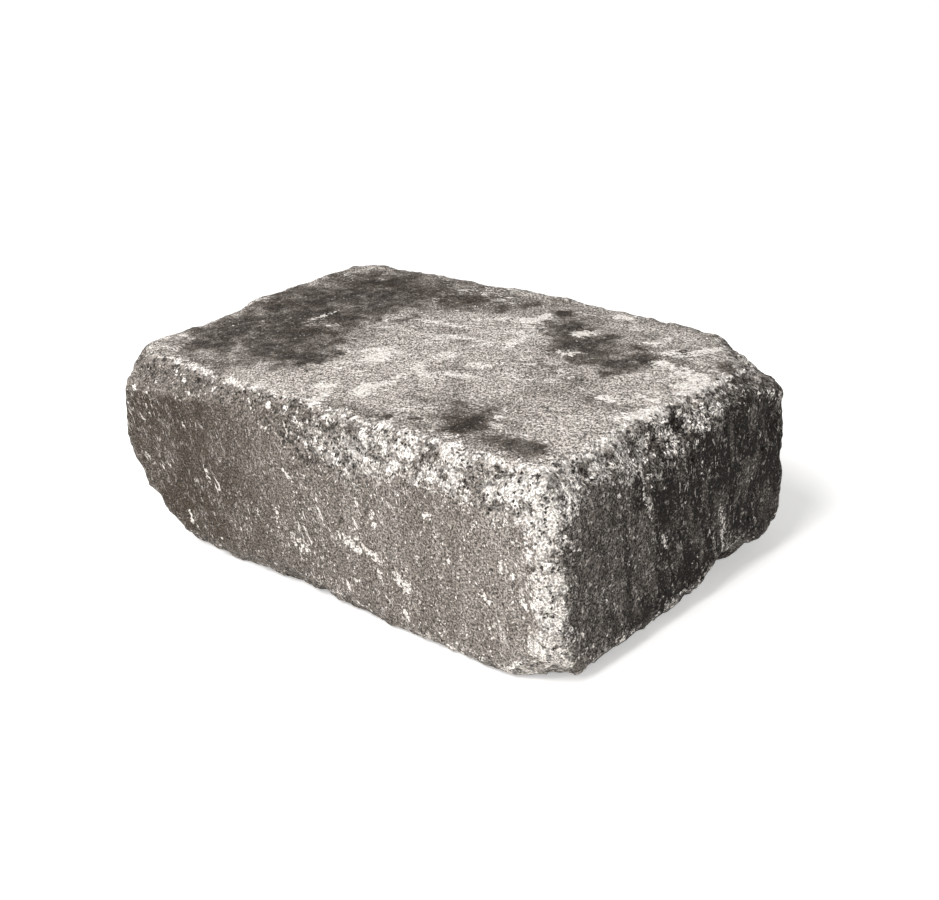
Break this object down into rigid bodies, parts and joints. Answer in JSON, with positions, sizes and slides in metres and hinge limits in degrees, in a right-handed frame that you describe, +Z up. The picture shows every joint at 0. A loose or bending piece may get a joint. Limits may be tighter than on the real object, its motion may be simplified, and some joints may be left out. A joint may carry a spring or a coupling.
{
  "type": "retaining wall block",
  "caption": "Solid tumbled concrete retaining wall block, a cuboid with broken and rubbed arrises, knocked corners and flaked edges.",
  "frame": {"origin": "middle of the bottom bed", "axes": "+X along the length to the right end, +Y from the front face to the back, +Z up"},
  "size_m": [0.2666, 0.1778, 0.0889],
  "materials": {
    "concrete": "dry-cast concrete, warm grey, matt, tumbled: sandy faces with lime scuffs, exposed pale and dark grit on the worn arrises"
  },
  "bodies": {
    "root": {"wall_block": "concrete"}
  },
  "joints": []
}
